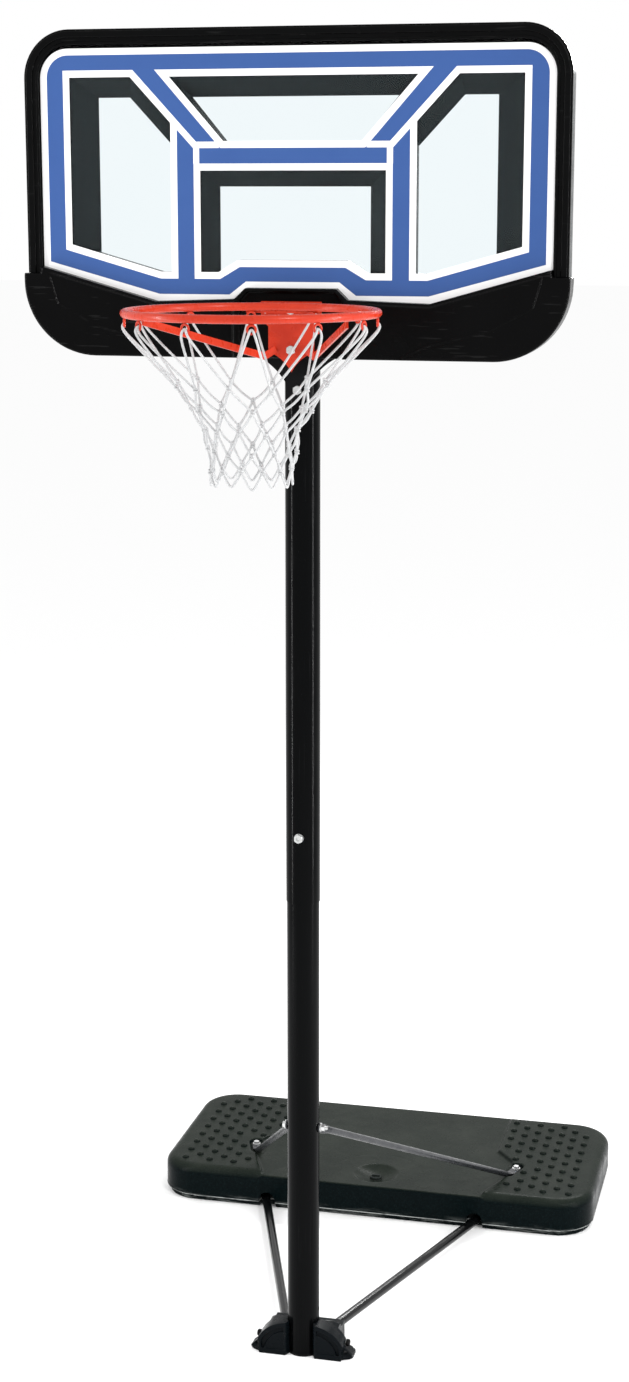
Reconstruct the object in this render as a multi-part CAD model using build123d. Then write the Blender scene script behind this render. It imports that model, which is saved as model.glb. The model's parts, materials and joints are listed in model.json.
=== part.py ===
"""Portable basketball hoop: ballast tank, telescoping pole, framed backboard, rim and net.

Millimetres, +Z up.  The parts are laid out from the front face of the clear sheet (y = 0,
x = 0 on the plane of symmetry, z = 0 on the floor, the rim towards -Y), and every part is
moved by SHIFT_Y as it is written, so that the origin ends on the floor under the middle of
the object's depth.
"""
from build123d import *
import math
import os

os.makedirs("parts", exist_ok=True)

# ---------------------------------------------------------------- driving dimensions
RING_INSIDE_D = 457.2          # 18 in ring
RING_ROD_D = 16.0
RING_HEIGHT = 2315.0           # centre of the ring rod, mast fully lowered
RING_REACH = 320.0             # ring centre in front of the sheet
MAST_TRAVEL = 762.0            # lowest to highest setting, 30 in
HEIGHT_PITCH = 152.4           # 6 in between settings

BOARD_WIDTH = 1106.0
BOARD_TOP = 2852.0
BOARD_BOTTOM = 2215.0
BOARD_CORNER = 95.0
BOARD_LOW_CORNER = 145.0
SHEET_THICK = 3.0
FRAME_BACK = 24.0              # back of the moulded web
RIM_WALL_BACK = 40.0           # back of the wall round the edge
FRAME_WALL = 5.0
TRIM_PROUD = 6.0
TRIM_WIDTH = 30.0
BAND_BORDER = 13.5             # white border round every window and blue band

PAD_WIDTH = 1116.0
PAD_BOTTOM = 2209.0
PAD_STEP = 2374.0              # where the pad takes over from the trim
PAD_FRONT = -24.0
PAD_SEAT = -8.0                # floor of the recess that the rim bolts to
PAD_WALL = 4.5
PAD_CORNER = 150.0

POLE_Y = 85.0
OUTER_POLE_D = 73.0
OUTER_POLE_BORE = 70.6
OUTER_POLE_BOTTOM = 1050.0
OUTER_POLE_TOP = 2345.0
INNER_POLE_D = 70.2
INNER_POLE_BORE = 66.2
INNER_POLE_BOTTOM = 4.0
INNER_POLE_TOP = 2030.0
HEIGHT_BOLT_Z = 1197.0
SLOT_WIDTH = 10.8
SLOT_SEAT_D = 13.5
STORAGE_HOLE_Z = 104.0         # cross hole just above the foot

TANK_WIDTH = 1110.0
TANK_FRONT = 783.0
TANK_BACK = 1299.0
TANK_TOP = 95.0
TANK_DECK = 87.5
TANK_CORNER = 95.0
TANK_WALL = 4.0
TANK_FOOT_H = 15.0
SEAM_PROUD = 1.2               # moulding seam round the lower edge
DISH_POS = (0.0, 866.0)        # round dish with the filler at its bottom
DISH_R = 57.0
DISH_DEPTH = 15.0
DISH_RING_R = 116.0            # faint moulded circle round the dish
FILL_BORE_R = 11.0

WHEEL_R = 27.0
WHEEL_W = 22.0
WHEEL_X = 54.0
AXLE_Z = 28.5
AXLE_R = 5.0
FENDER_X = 28.0                # the curved fenders are struck from here, on the floor
FENDER_R = 77.5
FENDER_LIP = 9.5
FENDER_PANEL_R = 56.0
FENDER_BACK = 90.0
FOOT_HALF = 98.0
FOOT_FRONT = 47.0
FOOT_REAR = 156.0
CLAMP_POS = (129.0, 12.0)      # y, z of the bolt that clamps the foot halves

STRUT_D = 22.0
STRUT_AT_FOOT = (53.0, 140.0, 32.0)
STRUT_AT_TANK = (267.0, TANK_FRONT, 20.0)
STRUT_SOCKET = 80.0
ARCH_R = 20.5                  # mouth in the tank wall round each strut
BRACE_D = 15.0
BRACE_TONGUE_T = 3.0
BRACE_TONGUE_W = 22.0
BRACE_BOLT_Z = 533.0
BRACE_BOLT_R = 4.0
BRACE_AT_TANK = (344.0, 976.0)
BRACE_SEAT_Z = 84.0
SEAT_R = 18.0
SEAT_LENGTH = 52.0            # of the sunk seat, from the bolt towards the pole

RIM_BOLT_Z = (2305.0, 2226.0)  # long bolts through rim, board and pole
RIM_BOLT_R = 5.0
FLANGE_BOLT = (52.0, 2308.0)   # short bolts beside the upper long one
TONGUE_BOLT_Z = 2142.0
BRACKET_BACK = 46.2
PLATE_T = 4.0

RING_R = (RING_INSIDE_D + RING_ROD_D) / 2
RING_OUTER_R = RING_R + RING_ROD_D / 2
DISH_FLOOR = TANK_DECK - DISH_DEPTH
SEAL_R = 14.5
SEAL_T = 1.5
SHIFT_Y = (RING_REACH + RING_OUTER_R - TANK_BACK - SEAM_PROUD) / 2
CLEAR = 0.3                    # gap round bolts and between fitted plates
EPS = 1.0                      # how far a cutter runs past a face


# ---------------------------------------------------------------- helpers
def export(node, shape):
    """Write one node, moved to the object's own origin."""
    export_step(Location((0, SHIFT_Y, 0)) * shape, f"parts/{node}.step")


def group(solids):
    """Identical loose solids that share one node."""
    return Compound(children=list(solids))


def both_sides(shape):
    """A solid and its mirror image across x = 0, as one node."""
    return group([shape, mirror(shape, about=Plane.YZ)])


def symmetric(points):
    """Close a half outline with its mirror image across x = 0."""
    return [(x, z) for x, z in points] + [(-x, z) for x, z in reversed(points) if x != 0]


def outline(points):
    """Face from corner points, given either way round."""
    area = sum(a[0] * b[1] - b[0] * a[1] for a, b in zip(points, points[1:] + points[:1]))
    return Polygon(*(points if area > 0 else list(reversed(points))), align=None)


def slab(face, y_front, y_back):
    """Extrude an outline drawn in x and z between two depths."""
    return extrude(Plane.XZ.offset(-y_back) * face, amount=y_back - y_front, dir=(0, -1, 0))


def cylinder(start, end, radius):
    """Solid cylinder between two points."""
    axis = Vector(*end) - Vector(*start)
    return extrude(Plane(start, z_dir=axis) * Circle(radius), amount=axis.length)


def tube(start, end, outer_d, bore_d):
    axis = Vector(*end) - Vector(*start)
    ring = Circle(outer_d / 2) - Circle(bore_d / 2)
    return extrude(Plane(start, z_dir=axis) * ring, amount=axis.length)


def box(x, y, z):
    """Box from three (low, high) pairs."""
    size = (x[1] - x[0], y[1] - y[0], z[1] - z[0])
    return Pos((x[0] + x[1]) / 2, (y[0] + y[1]) / 2, (z[0] + z[1]) / 2) * Box(*size)


def hexagon(flats):
    return RegularPolygon(flats / 2, 6, major_radius=False)


def bolt(seat, direction, shank_r, length, flats, head_h):
    """Hex bolt: the head sits behind the seat, the shank runs along direction."""
    plane = Plane(seat, z_dir=direction)
    head = extrude(plane * hexagon(flats), amount=-head_h)
    crown = extrude(plane * Circle(flats * 0.58), amount=-head_h)
    rims = crown.edges().filter_by(GeomType.CIRCLE)
    far_rim = max(rims, key=lambda edge: (edge.center() - Vector(*seat)).length)
    head = head & chamfer(far_rim, flats * 0.07)
    return head + extrude(plane * Circle(shank_r), amount=length)


def washer(seat, direction, bore_r, outer_r, thick):
    return extrude(Plane(seat, z_dir=direction) * (Circle(outer_r) - Circle(bore_r)), amount=thick)


def nut(seat, direction, bore_r, flats, height):
    return extrude(Plane(seat, z_dir=direction) * (hexagon(flats) - Circle(bore_r)), amount=height)


# ---------------------------------------------------------------- backboard outlines (x, z)
def board_outline(inset=0.0):
    """Rounded board outline, drawn inset by a distance all round."""
    half = BOARD_WIDTH / 2 - inset
    face = outline(symmetric([(half, BOARD_TOP - inset), (half, BOARD_BOTTOM + inset)]))
    face = fillet(face.vertices().group_by(Axis.Y)[-1], BOARD_CORNER - inset)
    return fillet(face.vertices().group_by(Axis.Y)[0], BOARD_LOW_CORNER - inset)


GRAPHIC_HALF = 521.0
GRAPHIC_TOP = 2815.0
GRAPHIC_LOWER_EDGE = [(GRAPHIC_HALF, 2388), (280, 2320), (116, 2326), (93, 2348)]

# front and rear edge of each moulded window: the walls between them are bevelled
SIDE_WINDOW = (
    [(460, 2759), (333, 2759), (250, 2670), (250, 2378), (272, 2378), (460, 2431)],
    [(406, 2720), (340, 2720), (250, 2623.5), (250, 2378), (272, 2378), (406, 2415.8)],
)
TOP_WINDOW = (
    symmetric([(252, 2759), (141, 2634)]),
    symmetric([(209.5, 2720), (138, 2634)]),
)
TARGET_WINDOW = (
    symmetric([(189, 2577), (189, 2378), (153, 2378), (112, 2402)]),
    symmetric([(154, 2546), (154, 2378), (150, 2378), (112, 2402)]),
)


def flip(points):
    return [(-x, z) for x, z in reversed(points)]


WINDOWS = [
    SIDE_WINDOW,
    (flip(SIDE_WINDOW[0]), flip(SIDE_WINDOW[1])),
    TOP_WINDOW,
    TARGET_WINDOW,
]


def window_plug(window, grow=0.0):
    """Solid that fills a window from in front of the sheet to behind the web."""
    front, rear = (outline(points) for points in window)
    if grow:
        front = offset(front, amount=grow, kind=Kind.INTERSECTION)
        rear = offset(rear, amount=grow, kind=Kind.INTERSECTION)
    front_plane = Plane.XZ.offset(-SHEET_THICK)
    rear_plane = Plane.XZ.offset(-FRAME_BACK)
    bevel = loft([(front_plane * front).face(), (rear_plane * rear).face()], ruled=True)
    return bevel + slab(front, -20, SHEET_THICK) + slab(rear, FRAME_BACK, RIM_WALL_BACK + 20)


# ---------------------------------------------------------------- backboard
MOUNT_BLOCK = box((-105, 105), (SHEET_THICK, 42), (2232, 2370))


def board_bolt_holes():
    """Clearance for the four bolts that pass through pad, frame and bracket."""
    holes = [cylinder((0, -40, z), (0, 160, z), RIM_BOLT_R + CLEAR) for z in RIM_BOLT_Z]
    x, z = FLANGE_BOLT
    holes += [cylinder((side * x, -40, z), (side * x, 60, z), RIM_BOLT_R + CLEAR) for side in (-1, 1)]
    return holes


def trim():
    """Raised rim round the sheet with two rounded beads along it."""
    lip = slab(board_outline() - board_outline(TRIM_WIDTH), -TRIM_PROUD, SHEET_THICK)
    outer_bead = slab(board_outline(3) - board_outline(17), -TRIM_PROUD - 4, -TRIM_PROUD)
    inner_bead = slab(board_outline(24) - board_outline(TRIM_WIDTH), -TRIM_PROUD - 2, -TRIM_PROUD)
    outer_bead = fillet(outer_bead.faces().sort_by(Axis.Y)[0].edges(), 3.5)
    inner_bead = fillet(inner_bead.faces().sort_by(Axis.Y)[0].edges(), 1.8)
    below_step = box((-600, 600), (-40, SHEET_THICK), (2200, PAD_STEP + CLEAR))
    return lip + outer_bead + inner_bead - below_step


def backboard_frame():
    web = slab(board_outline(), SHEET_THICK, FRAME_BACK)
    wall = slab(board_outline() - board_outline(10), FRAME_BACK, RIM_WALL_BACK)
    pocket = slab(board_outline(10), SHEET_THICK + FRAME_WALL, FRAME_BACK + EPS)
    for x in (-500, -225, 225, 500):
        pocket -= box((x - 2, x + 2), (0, 60), (BOARD_BOTTOM, BOARD_TOP))
    for z in (2300, 2500, 2605, 2790):
        pocket -= box((-560, 560), (0, 60), (z - 2, z + 2))
    pocket -= box((-110, 110), (0, 60), (2227, 2375))
    for window in WINDOWS:
        pocket -= window_plug(window, FRAME_WALL)
    frame = web + wall - pocket
    for window in WINDOWS:
        frame -= window_plug(window)
    back_edge = frame.faces().sort_by(Axis.Y)[-1].outer_wire().edges()
    frame = fillet(back_edge, 4)
    frame = frame + MOUNT_BLOCK + trim()
    for hole in board_bolt_holes() + pad_screw_holes():
        frame -= hole
    return frame


def board_sheet():
    half = BOARD_WIDTH / 2 - TRIM_WIDTH - 0.5
    face = outline(symmetric([(half, BOARD_TOP - TRIM_WIDTH - 0.5), (half, 2236)]))
    face = fillet(face.vertices().group_by(Axis.Y)[-1], BOARD_CORNER - TRIM_WIDTH)
    face = fillet(face.vertices().group_by(Axis.Y)[0], 120)
    sheet = slab(face, 0, SHEET_THICK)
    for hole in board_bolt_holes() + pad_screw_holes():
        sheet -= hole
    return sheet


def graphic_white():
    """White print: everything between the windows, up to the trim and the pad."""
    face = outline(symmetric([(GRAPHIC_HALF, GRAPHIC_TOP)] + GRAPHIC_LOWER_EDGE))
    face = fillet(face.vertices().group_by(Axis.Y)[-1], 58)
    for window in WINDOWS:
        face -= outline(window[0])
    return slab(face, -0.3, 0)


def graphic_blue():
    """Blue bands, inset from the edges of the white print."""
    lower = [(507, 2397), (276, 2334), (130, 2334), (96, 2360)]
    face = outline(symmetric([(507, 2802)] + lower))
    face = fillet(face.vertices().group_by(Axis.Y)[-1], 44)
    for window in WINDOWS:
        face -= offset(outline(window[0]), amount=BAND_BORDER, kind=Kind.INTERSECTION)
    # white lines where the diagonal, upright and level bands of the target meet
    joint = [(237, 2675.8), (237, 2657), (203, 2620.5), (203, 2590), (190.5, 2590),
             (190.5, 2620.5), (150, 2620.5), (150, 2633), (197, 2633)]
    face -= outline(joint)
    face -= outline(flip(joint))
    return slab(face, -0.6, -0.3)


# ---------------------------------------------------------------- lower pad
PAD_SCREWS = [(440, 2318), (212, 2262)]
PAD_SEAT_HALF = [(88, 2341), (104, 2325), (104, 2180)]
PAD_PANEL = [(505, 2376), (281, 2314), (118, 2320), (118, 2200),
             (202, 2200), (276, 2236), (400, 2267), (486, 2312)]
PAD_PANEL_DEPTH = 4.0          # sunk behind the raised bead along the lower edge


def pad_outline(inset=0.0):
    half = PAD_WIDTH / 2
    upper = [(half, PAD_STEP), (GRAPHIC_HALF + 1.5, PAD_STEP)] + GRAPHIC_LOWER_EDGE
    face = outline(symmetric([(half, PAD_BOTTOM)] + upper))
    face = fillet(face.vertices().group_by(Axis.Y)[0], PAD_CORNER)
    return offset(face, amount=-inset, kind=Kind.INTERSECTION) if inset else face


def pad_screw_holes():
    holes = []
    for x, z in PAD_SCREWS:
        for side in (-1, 1):
            holes.append(cylinder((side * x, -10, z), (side * x, FRAME_BACK + 20, z), 2.8))
    return holes


def lower_pad():
    """Moulded cover that wraps the lower edge of the board and carries the rim."""
    front = slab(pad_outline(), PAD_FRONT, -0.7)
    front = fillet(front.faces().sort_by(Axis.Y)[0].edges(), 5)
    hollow = slab(pad_outline(PAD_WALL), PAD_FRONT + PAD_PANEL_DEPTH + PAD_WALL, 0)
    hollow -= box((-110, 110), (-40, 5), (2200, 2360))
    for panel in (PAD_PANEL, flip(PAD_PANEL)):
        front -= slab(outline(panel), PAD_FRONT - EPS, PAD_FRONT + PAD_PANEL_DEPTH)
    bosses = [cylinder((s * x, -40, z), (s * x, 5, z), 7) for x, z in PAD_SCREWS for s in (-1, 1)]
    for boss in bosses:
        hollow -= boss
    lip = slab(pad_outline() - pad_lip_inside(), -0.7, 34)
    lip -= box((-600, 600), (-1, 40), (PAD_STEP - 1, 2500))
    seat = outline(symmetric(PAD_SEAT_HALF))
    pad = front - hollow + lip - slab(seat, PAD_FRONT - EPS, PAD_SEAT)
    for hole in board_bolt_holes() + pad_screw_pilots():
        pad -= hole
    return pad


def pad_lip_inside():
    """What lies inside the lip: the board's own edge and the clearance round it."""
    half = PAD_WIDTH / 2 - PAD_WALL
    face = outline(symmetric([(half, 2500), (half, PAD_BOTTOM + PAD_WALL)]))
    return fillet(face.vertices().group_by(Axis.Y)[0], PAD_CORNER - PAD_WALL)


def pad_screw_pilots():
    return [cylinder((s * x, -16, z), (s * x, 0, z), 2.05) for x, z in PAD_SCREWS for s in (-1, 1)]


def pad_screws():
    """Self-tapping screws driven from behind, through the frame, into the pad."""
    screws = []
    for x, z in PAD_SCREWS:
        for side in (-1, 1):
            seat = (side * x, SHEET_THICK + FRAME_WALL, z)
            head = cylinder(seat, (side * x, SHEET_THICK + FRAME_WALL + 3, z), 5)
            screws.append(head + cylinder(seat, (side * x, -14, z), 2.0))
    return group(screws)


# ---------------------------------------------------------------- rim
BRACKET_PLATE_Y = (PAD_SEAT - PLATE_T, PAD_SEAT)
RING_SHELF_Z = RING_HEIGHT - RING_ROD_D / 2 - 0.2
RING_SHELF_HALF = 73.0
FACE_HALF = 62.0
NECK_HALF = 47.0
V_TIP_Z = 2182.0


def rim_ring():
    return Pos(0, -RING_REACH, RING_HEIGHT) * Torus(RING_R, RING_ROD_D / 2)


def rim_bracket():
    """Face plate bolted to the board, with the shelf that the ring is welded to."""
    with BuildSketch() as face:
        with BuildLine():
            Polyline((0, 2322), (FACE_HALF, 2322), (FACE_HALF, 2288), (NECK_HALF, 2272), (NECK_HALF, 2222))
            ThreePointArc((NECK_HALF, 2222), (19, 2206), (0, V_TIP_Z))
            ThreePointArc((0, V_TIP_Z), (-19, 2206), (-NECK_HALF, 2222))
            Polyline((-NECK_HALF, 2222), (-NECK_HALF, 2272), (-FACE_HALF, 2288), (-FACE_HALF, 2322), (0, 2322))
        make_face()
    plate = slab(face.sketch, *BRACKET_PLATE_Y)
    shelf_back = BRACKET_PLATE_Y[0]
    shelf_front = -(RING_REACH - RING_R) - 2.5
    shelf = outline(symmetric([(FACE_HALF, shelf_back), (RING_SHELF_HALF, shelf_front)]))
    shelf = extrude(Pos(0, 0, RING_SHELF_Z) * shelf, amount=-PLATE_T)
    for x, z in [(0, RIM_BOLT_Z[0]), FLANGE_BOLT, (-FLANGE_BOLT[0], FLANGE_BOLT[1])]:
        shelf -= cylinder((x, shelf_back - 12, z), (x, shelf_back, z), 11)
    bracket = plate + shelf
    for hole in board_bolt_holes():
        bracket -= hole
    return bracket


BRACE_RING_ANGLE = 52.0        # where the side brace meets the ring, from straight out
BRACE_BAR_H = 14.0
BRACE_BAR_T = 4.0


def rim_brace():
    """Flat bar from under the side of the ring to the neck of the face plate."""
    angle = math.radians(BRACE_RING_ANGLE)
    ring_x = RING_R * math.sin(angle) + 3
    ring_y = -RING_REACH - RING_R * math.cos(angle) * 0.35
    low = (NECK_HALF + 4, -26, 2214)
    high = (ring_x + 6, ring_y, RING_SHELF_Z - BRACE_BAR_H / 2 - 1)
    bar = flat_bar(low, high)
    foot = flat_bar((NECK_HALF - 16, BRACKET_PLATE_Y[0] - BRACE_BAR_T / 2, 2228), low)
    return bar + foot


def flat_bar(start, end):
    """Upright flat bar of constant section between two points."""
    run = Vector(*end) - Vector(*start)
    flat = Plane(start, x_dir=Vector(-run.Y, run.X, 0), z_dir=run)
    return extrude(flat * Rectangle(BRACE_BAR_T, BRACE_BAR_H), amount=run.length)


HOOK_COUNT = 12
HOOK_FIRST = 15.0
HOOK_LOOP_R = 7.5
HOOK_WIRE_R = 2.3


def hook_place(index):
    """Frame of one hook: x points out from the ring centre, under the ring rod."""
    turn = HOOK_FIRST + index * 360 / HOOK_COUNT - 90
    return Pos(0, -RING_REACH, 0) * Rot(0, 0, turn) * Pos(RING_R, 0, 0)


def net_hooks():
    """Wire loops welded under the ring, one for each top loop of the net."""
    loop_z = RING_HEIGHT - RING_ROD_D / 2 - HOOK_LOOP_R - HOOK_WIRE_R + 0.1
    loop = Pos(0, 0, loop_z) * Rot(0, 90, 0) * Torus(HOOK_LOOP_R, HOOK_WIRE_R)
    return group([hook_place(index) * loop for index in range(HOOK_COUNT)])


# net surface: radius at each height, from just under the hooks to the bottom loops
NET_PROFILE = [(234, 2286), (178, 2224), (150, 2190), (104, 2130), (84, 2095), (76, 2030), (80, 1988)]
NET_THICK = 2.0


def net():
    inner = [(radius - NET_THICK, z) for radius, z in NET_PROFILE]
    section = outline(NET_PROFILE + list(reversed(inner)))
    sleeve = revolve(Plane.XZ * section, Axis.Z)
    return Pos(0, -RING_REACH, 0) * sleeve


# ---------------------------------------------------------------- fasteners of rim and board
POLE_BACK = POLE_Y + OUTER_POLE_D / 2


def rim_bolts():
    front = BRACKET_PLATE_Y[0]
    long_bolts = [bolt((0, front, z), (0, 1, 0), RIM_BOLT_R, POLE_BACK + 18 - front, 17, 6.5)
                  for z in RIM_BOLT_Z]
    x, z = FLANGE_BOLT
    short = [bolt((s * x, front, z), (0, 1, 0), RIM_BOLT_R, BRACKET_BACK + 14 - front, 17, 6.5)
             for s in (-1, 1)]
    return group(long_bolts + short)


def rim_nuts():
    back = [nut((0, POLE_BACK + 4.2, z), (0, 1, 0), RIM_BOLT_R + 0.05, 17, 8) for z in RIM_BOLT_Z]
    x, z = FLANGE_BOLT
    side = [nut((s * x, BRACKET_BACK + 2.1, z), (0, 1, 0), RIM_BOLT_R + 0.05, 17, 8) for s in (-1, 1)]
    return group(back + side)


def rim_washers():
    x, z = FLANGE_BOLT
    return group([washer((s * x, BRACKET_BACK + 0.05, z), (0, 1, 0), RIM_BOLT_R + CLEAR, 10.5, 2)
                  for s in (-1, 1)])


def pole_saddles():
    """Shaped washers that seat the long bolts' nuts on the back of the pole."""
    saddles = []
    for z in list(RIM_BOLT_Z) + [TONGUE_BOLT_Z]:
        block = box((-15, 15), (POLE_BACK - 8, POLE_BACK + 4), (z - 14, z + 14))
        block -= cylinder((0, POLE_Y, z - 20), (0, POLE_Y, z + 20), OUTER_POLE_D / 2 + 0.1)
        block -= cylinder((0, POLE_BACK - 10, z), (0, POLE_BACK + 6, z), RIM_BOLT_R + CLEAR)
        saddles.append(block)
    return group(saddles)


def board_bracket():
    """Black plate behind the board with a saddle that hugs the front of the pole."""
    with BuildSketch() as face:
        with BuildLine():
            Polyline((0, 2362), (70, 2362), (95, 2335), (95, 2214))
            ThreePointArc((95, 2214), (52, 2188), (26, 2158))
            Polyline((26, 2158), (22, 2122), (-22, 2122), (-26, 2158))
            ThreePointArc((-26, 2158), (-52, 2188), (-95, 2214))
            Polyline((-95, 2214), (-95, 2335), (-70, 2362), (0, 2362))
        make_face()
    plate = slab(face.sketch, 42.2, BRACKET_BACK)
    saddle = box((-26, 26), (BRACKET_BACK, POLE_Y - 20), (2122, 2335))
    saddle -= cylinder((0, POLE_Y, 2100), (0, POLE_Y, 2360), OUTER_POLE_D / 2 + 0.1)
    bracket = plate + saddle
    holes = board_bolt_holes()
    holes.append(cylinder((0, 20, TONGUE_BOLT_Z), (0, 160, TONGUE_BOLT_Z), RIM_BOLT_R + CLEAR))
    for hole in holes:
        bracket -= hole
    return bracket


def tongue_bolt():
    return bolt((0, 42.1, TONGUE_BOLT_Z), (0, 1, 0), RIM_BOLT_R, POLE_BACK + 18 - 42.1, 17, 6.5)


def tongue_nut():
    return nut((0, POLE_BACK + 4.2, TONGUE_BOLT_Z), (0, 1, 0), RIM_BOLT_R + 0.05, 17, 8)


# ---------------------------------------------------------------- pole
def upper_pole():
    pole = tube((0, POLE_Y, OUTER_POLE_BOTTOM), (0, POLE_Y, OUTER_POLE_TOP), OUTER_POLE_D, OUTER_POLE_BORE)
    for z in list(RIM_BOLT_Z) + [TONGUE_BOLT_Z, HEIGHT_BOLT_Z]:
        pole -= cylinder((0, 0, z), (0, 160, z), RIM_BOLT_R + CLEAR)
    return pole


def upper_pole_cap():
    """Push-in cap that closes the top of the pole."""
    top = OUTER_POLE_TOP
    skirt = tube((0, POLE_Y, top - 18), (0, POLE_Y, top), OUTER_POLE_BORE - 0.2, OUTER_POLE_BORE - 6)
    lid = cylinder((0, POLE_Y, top), (0, POLE_Y, top + 5), OUTER_POLE_D / 2)
    lid = fillet(lid.edges().sort_by(Axis.Z)[-1], 4)
    return skirt + lid


def height_bolt():
    """Bolt that holds the mast at a setting, front to back through both poles."""
    seat = POLE_Y - OUTER_POLE_D / 2 - 3.2
    screw = bolt((0, seat, HEIGHT_BOLT_Z), (0, 1, 0), RIM_BOLT_R, POLE_BACK + 17 - seat, 17, 6.5)
    return screw - cylinder((0, seat - 10, HEIGHT_BOLT_Z), (0, seat - 2.5, HEIGHT_BOLT_Z), 4.8)


def height_washers():
    front = POLE_Y - OUTER_POLE_D / 2
    ends = []
    for y in (front - 3.1, POLE_BACK - 1.5):
        ring = washer((0, y, HEIGHT_BOLT_Z), (0, 1, 0), RIM_BOLT_R + CLEAR, 10, 4.6)
        low, high = HEIGHT_BOLT_Z - 20, HEIGHT_BOLT_Z + 20
        ring -= cylinder((0, POLE_Y, low), (0, POLE_Y, high), OUTER_POLE_D / 2 + 0.1)
        ends.append(ring)
    return group(ends)


def height_nut():
    return nut((0, POLE_BACK + 3.2, HEIGHT_BOLT_Z), (0, 1, 0), RIM_BOLT_R + 0.05, 17, 8)


def height_slot():
    """Notched slot, front and rear, with a round seat at every height setting."""
    low = HEIGHT_BOLT_Z
    high = HEIGHT_BOLT_Z + MAST_TRAVEL
    half = SLOT_WIDTH / 2
    face = outline([(-half, low), (half, low), (half, high), (-half, high)])
    for step in range(int(MAST_TRAVEL / HEIGHT_PITCH + 0.5) + 1):
        face += Pos(0, low + step * HEIGHT_PITCH) * Circle(SLOT_SEAT_D / 2)
    return slab(face, POLE_Y - 50, POLE_Y + 50)


def lower_pole():
    pole = tube((0, POLE_Y, INNER_POLE_BOTTOM), (0, POLE_Y, INNER_POLE_TOP), INNER_POLE_D, INNER_POLE_BORE)
    pole -= height_slot()
    for z, radius in ((AXLE_Z, AXLE_R + CLEAR), (STORAGE_HOLE_Z, 5), (BRACE_BOLT_Z, BRACE_BOLT_R + CLEAR)):
        pole -= cylinder((-60, POLE_Y, z), (60, POLE_Y, z), radius)
    return pole


def lower_pole_plug():
    """Plastic plug in the foot of the pole."""
    flange = cylinder((0, POLE_Y, 0), (0, POLE_Y, INNER_POLE_BOTTOM), INNER_POLE_D / 2)
    low = INNER_POLE_BOTTOM
    skirt = tube((0, POLE_Y, low), (0, POLE_Y, 24), INNER_POLE_BORE - 0.2, INNER_POLE_BORE - 6)
    return flange + skirt


def lower_pole_liner():
    """Plastic liner in the top of the lower pole, which steadies it in the upper one."""
    top = INNER_POLE_TOP
    skirt = tube((0, POLE_Y, top - 25), (0, POLE_Y, top), INNER_POLE_BORE - 0.2, INNER_POLE_BORE - 5)
    rim = tube((0, POLE_Y, top), (0, POLE_Y, top + 3), INNER_POLE_D, INNER_POLE_BORE - 5)
    return skirt + rim


# ---------------------------------------------------------------- foot and wheels
def foot_half():
    """Right half of the moulded foot: curved fender, flange, wheel pocket and strut socket."""
    inner = 0.2
    front_view = outline([(inner, 0), (94, 0), (94, 24), (97.5, 36), (97.5, 90), (inner, 90)])
    front_view = Pos(FENDER_X, 0) * Circle(FENDER_R) & front_view
    body = slab(front_view, FOOT_FRONT, FENDER_BACK)
    tail = outline([(FENDER_BACK - EPS, 0), (FENDER_BACK - EPS, 74), (102, 68), (119, 50), (128, 46),
                    (FOOT_REAR, 46), (FOOT_REAR, 0)])
    tail = extrude(Plane.YZ.offset(inner) * tail, amount=78)
    body += tail & slab(front_view, FENDER_BACK - EPS, FOOT_REAR)

    # sunk groove under the fender's lip, round a shallower panel
    groove = Pos(FENDER_X, 0) * (Circle(FENDER_R - FENDER_LIP) - Circle(FENDER_PANEL_R))
    panel = Pos(FENDER_X, 0) * Circle(FENDER_PANEL_R)
    face_zone = outline([(37, 12), (89, 12), (89, 80), (37, 80)])
    panel_zone = outline([(37, 12), (80, 12), (80, 80), (37, 80)])
    body -= slab(groove & face_zone, FOOT_FRONT - EPS, FOOT_FRONT + 7)
    body -= slab(panel & panel_zone, FOOT_FRONT - EPS, FOOT_FRONT + 3)

    # ground flange with its raised step, and a pierced gusset up to the fender's tip
    for grow, height in ((0.0, 6.0), (-5.0, 10.0)):
        edge = 117 + grow
        near = FOOT_FRONT - grow
        flange = outline([(33, near), (82, near), (edge, 66), (edge, 104), (84, 122), (33, 122)])
        flange = fillet(flange.vertices().group_by(Axis.X)[-1], 16)
        body += extrude(flange, amount=height)
    gusset = outline([(90, 31), (94, 31), (116, 9), (116, 5), (90, 5)])
    body += slab(gusset - Pos(100.5, 16) * Circle(4), 62, 72)

    pocket_r = WHEEL_R + 3
    pocket = (WHEEL_X - WHEEL_W / 2 - 1, WHEEL_X + WHEEL_W / 2 + 1)
    body -= cylinder((pocket[0], POLE_Y, AXLE_Z), (pocket[1], POLE_Y, AXLE_Z), pocket_r)
    body -= box(pocket, (POLE_Y - pocket_r, POLE_Y + pocket_r), (-EPS, AXLE_Z))
    body -= cylinder((0, POLE_Y, -EPS), (0, POLE_Y, 100), INNER_POLE_D / 2 + 0.2)
    opening = outline([(-EPS, FOOT_FRONT - 5), (33, FOOT_FRONT - 5), (33, FOOT_FRONT),
                       (25, 64), (25, POLE_Y), (-EPS, POLE_Y)])
    body -= extrude(Pos(0, 0, -EPS) * opening, amount=100)
    body -= cylinder((-EPS, POLE_Y, AXLE_Z), (FOOT_HALF + EPS, POLE_Y, AXLE_Z), AXLE_R + 0.1)

    y, z = CLAMP_POS
    body -= cylinder((-EPS, y, z), (FOOT_HALF + EPS, y, z), BRACE_BOLT_R + CLEAR)
    body -= cylinder((76, y, z), (FOOT_HALF + EPS, y, z), 10.5)
    body -= strut_bar(STRUT_D + 0.6)
    body -= strut_screw_hole(3.2, -EPS, STRUT_AT_FOOT[2])
    body -= strut_screw_hole(6.0, -EPS, STRUT_SCREW_SEAT)
    return body


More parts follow.
